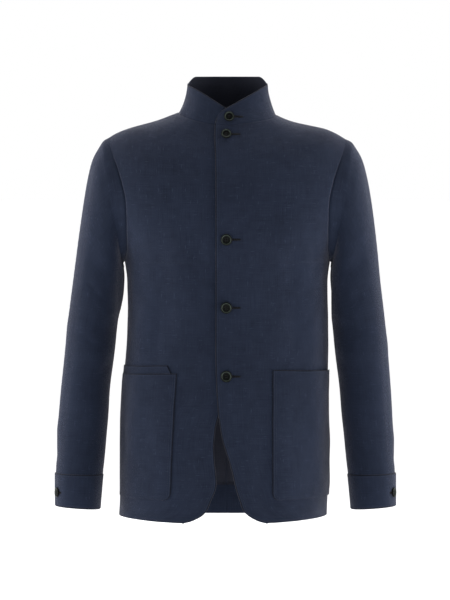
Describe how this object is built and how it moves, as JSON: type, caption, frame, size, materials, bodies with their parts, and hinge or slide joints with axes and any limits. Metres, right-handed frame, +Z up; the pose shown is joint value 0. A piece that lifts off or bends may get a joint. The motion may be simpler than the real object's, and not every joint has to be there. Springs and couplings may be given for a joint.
{
  "type": "blazer",
  "caption": "Man's stand-collar linen-look blazer with patch pockets, buttoned, filled out as when worn.",
  "frame": {"origin": "middle of the neck base, level with the high shoulder points, where the wearer's shoulders hold the blazer", "axes": "+Z up, +X to the wearer's left, the front faces -Y"},
  "size_m": [0.5966, 0.2705, 0.7721],
  "materials": {
    "cloth": "dark navy linen-look hopsack, matt, with short slubs",
    "horn": "green-black horn, polished, with a lighter rim"
  },
  "bodies": {
    "root": {"front_left": "cloth", "front_right": "cloth", "back_left": "cloth", "back_right": "cloth", "sleeve_left": "cloth", "sleeve_right": "cloth", "cuff_left": "cloth", "cuff_right": "cloth", "collar": "cloth", "pocket_left": "cloth", "pocket_right": "cloth", "pocket_flap_right": "cloth", "button_collar": "horn", "button_neck": "horn", "button_top": "horn", "button_middle": "horn", "button_lower": "horn", "button_cuff_left": "horn", "button_cuff_right": "horn"}
  },
  "joints": []
}
